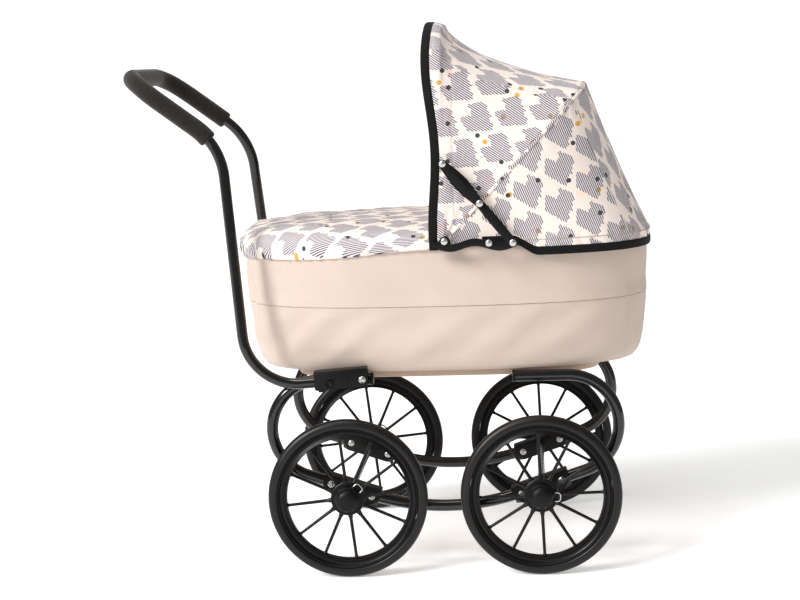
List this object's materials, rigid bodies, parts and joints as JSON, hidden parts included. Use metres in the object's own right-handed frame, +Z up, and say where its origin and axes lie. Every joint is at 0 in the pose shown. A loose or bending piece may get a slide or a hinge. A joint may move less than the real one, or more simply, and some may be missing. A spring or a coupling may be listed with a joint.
{
  "type": "doll's pram",
  "caption": "Doll's pram with fabric carrycot, folding printed hood and cover on a bent-tube chassis with spoked wheels and a fold-down handle.",
  "frame": {"origin": "on the floor below the middle of the whole pram's box", "axes": "+X is the way the pram is pushed, towards the hood end; -X the handle; +Y its left side; +Z up"},
  "size_m": [0.584, 0.348, 0.6],
  "materials": {
    "black_tube": "gloss black powder coat",
    "black_plastic": "satin moulded",
    "wheel_plastic": "semi-gloss moulded",
    "tyre": "satin",
    "foam": "matte closed-cell foam",
    "steel": "zinc plated",
    "beige_fabric": "plain woven canvas",
    "printed_fabric": "printed cotton",
    "lining_fabric": "plain cotton",
    "board": "fabric-faced board"
  },
  "bodies": {
    "chassis": {"base_board": "board", "axle_rear": "steel", "axle_front": "steel", "carrycot_body": "beige_fabric", "mattress": "lining_fabric", "apron": "printed_fabric", "hood_bow_rear": "black_plastic", "side_tube_right": "black_tube", "handle_bracket_right": "black_plastic", "pivot_screw_right": "steel", "hinge_plate_right": "black_plastic", "bow_pin_right": "steel", "tube_plug_rear_right": "black_plastic", "axle_bracket_rear_right": "black_plastic", "tube_plug_front_right": "black_plastic", "axle_bracket_front_right": "black_plastic", "side_tube_left": "black_tube", "handle_bracket_left": "black_plastic", "pivot_screw_left": "steel", "hinge_plate_left": "black_plastic", "bow_pin_left": "steel", "tube_plug_rear_left": "black_plastic", "axle_bracket_rear_left": "black_plastic", "tube_plug_front_left": "black_plastic", "axle_bracket_front_left": "black_plastic"},
    "handle": {"handle_tube": "black_tube", "handle_grip": "foam"},
    "wheel_rear_right": {"wheel_rear_right": "wheel_plastic", "tyre_rear_right": "tyre", "hub_cap_rear_right": "black_plastic"},
    "wheel_front_right": {"wheel_front_right": "wheel_plastic", "tyre_front_right": "tyre", "hub_cap_front_right": "black_plastic"},
    "wheel_rear_left": {"wheel_rear_left": "wheel_plastic", "tyre_rear_left": "tyre", "hub_cap_rear_left": "black_plastic"},
    "wheel_front_left": {"wheel_front_left": "wheel_plastic", "tyre_front_left": "tyre", "hub_cap_front_left": "black_plastic"},
    "clip_rear_right": {"release_clip_rear_right": "steel"},
    "clip_front_right": {"release_clip_front_right": "steel"},
    "clip_rear_left": {"release_clip_rear_left": "steel"},
    "clip_front_left": {"release_clip_front_left": "steel"},
    "lock_right": {"lock_button_right": "black_plastic"},
    "lock_left": {"lock_button_left": "black_plastic"},
    "hood_middle": {"hood_bow_middle": "black_plastic", "hood_panel_back": "printed_fabric"},
    "hood_front": {"hood_bow_front": "black_plastic", "hood_panel_front": "printed_fabric"},
    "lower_arm_right": {"lower_arm_right": "black_plastic", "elbow_pin_right": "steel"},
    "upper_arm_right": {"upper_arm_right": "black_plastic"},
    "lower_arm_left": {"lower_arm_left": "black_plastic", "elbow_pin_left": "steel"},
    "upper_arm_left": {"upper_arm_left": "black_plastic"}
  },
  "joints": [
    {"name": "spin_rear_right", "type": "hinge", "parent": "chassis", "child": "wheel_rear_right", "pos_m": [-0.0478, -0.155, 0.0875], "axis": [0, 1, 0], "continuous": true},
    {"name": "spin_front_right", "type": "hinge", "parent": "chassis", "child": "wheel_front_right", "pos_m": [0.1628, -0.155, 0.0875], "axis": [0, 1, 0], "continuous": true},
    {"name": "spin_rear_left", "type": "hinge", "parent": "chassis", "child": "wheel_rear_left", "pos_m": [-0.0478, 0.155, 0.0875], "axis": [0, 1, 0], "continuous": true},
    {"name": "spin_front_left", "type": "hinge", "parent": "chassis", "child": "wheel_front_left", "pos_m": [0.1628, 0.155, 0.0875], "axis": [0, 1, 0], "continuous": true},
    {"name": "clip_pull_rear_right", "type": "slide", "parent": "wheel_rear_right", "child": "clip_rear_right", "axis": [0.6947, 0, 0.7193], "range_m": [0, 0.003], "stiffness_N_per_m": 300},
    {"name": "clip_pull_front_right", "type": "slide", "parent": "wheel_front_right", "child": "clip_front_right", "axis": [0.9976, 0, -0.0698], "range_m": [0, 0.003], "stiffness_N_per_m": 300},
    {"name": "clip_pull_rear_left", "type": "slide", "parent": "wheel_rear_left", "child": "clip_rear_left", "axis": [0.6947, 0, 0.7193], "range_m": [0, 0.003], "stiffness_N_per_m": 300},
    {"name": "clip_pull_front_left", "type": "slide", "parent": "wheel_front_left", "child": "clip_front_left", "axis": [0.9976, 0, -0.0698], "range_m": [0, 0.003], "stiffness_N_per_m": 300},
    {"name": "handle_fold", "type": "hinge", "parent": "chassis", "child": "handle", "pos_m": [-0.0295, 0, 0.2145], "axis": [0, -1, 0], "range_deg": [0, 70]},
    {"name": "lock_press_right", "type": "slide", "parent": "chassis", "child": "lock_right", "axis": [0, 1, 0], "range_m": [0, 0.0025], "stiffness_N_per_m": 500},
    {"name": "lock_press_left", "type": "slide", "parent": "chassis", "child": "lock_left", "axis": [0, -1, 0], "range_m": [0, 0.0025], "stiffness_N_per_m": 500},
    {"name": "hood_fold", "type": "hinge", "parent": "chassis", "child": "hood_middle", "pos_m": [0.0665, 0, 0.366], "axis": [0, 1, 0], "range_deg": [0, 37], "deforming": ["hood_panel_back"]},
    {"name": "hood_front_fold", "type": "hinge", "parent": "hood_middle", "child": "hood_front", "pos_m": [0.0665, 0, 0.366], "axis": [0, 1, 0], "range_deg": [0, 34.01], "deforming": ["hood_panel_front"]},
    {"name": "lower_arm_swing_right", "type": "hinge", "parent": "chassis", "child": "lower_arm_right", "pos_m": [0.1395, -0.16, 0.363], "axis": [0, 1, 0], "range_deg": [0, 129.19]},
    {"name": "elbow_right", "type": "hinge", "parent": "lower_arm_right", "child": "upper_arm_right", "pos_m": [0.1055, -0.163, 0.406], "axis": [0, 1, 0], "range_deg": [-146.38, 0]},
    {"name": "lower_arm_swing_left", "type": "hinge", "parent": "chassis", "child": "lower_arm_left", "pos_m": [0.1395, 0.16, 0.363], "axis": [0, 1, 0], "range_deg": [0, 129.19]},
    {"name": "elbow_left", "type": "hinge", "parent": "lower_arm_left", "child": "upper_arm_left", "pos_m": [0.1055, 0.163, 0.406], "axis": [0, 1, 0], "range_deg": [-146.38, 0]}
  ],
  "couplings": [
    {"joint": "hood_front_fold", "follows": "hood_fold", "ratio": 0.91892},
    {"joint": "lower_arm_swing_right", "follows": "hood_fold", "ratio": 3.4904},
    {"joint": "elbow_right", "follows": "hood_fold", "ratio": -3.9549},
    {"joint": "lower_arm_swing_left", "follows": "hood_fold", "ratio": 3.4904},
    {"joint": "elbow_left", "follows": "hood_fold", "ratio": -3.9549}
  ]
}
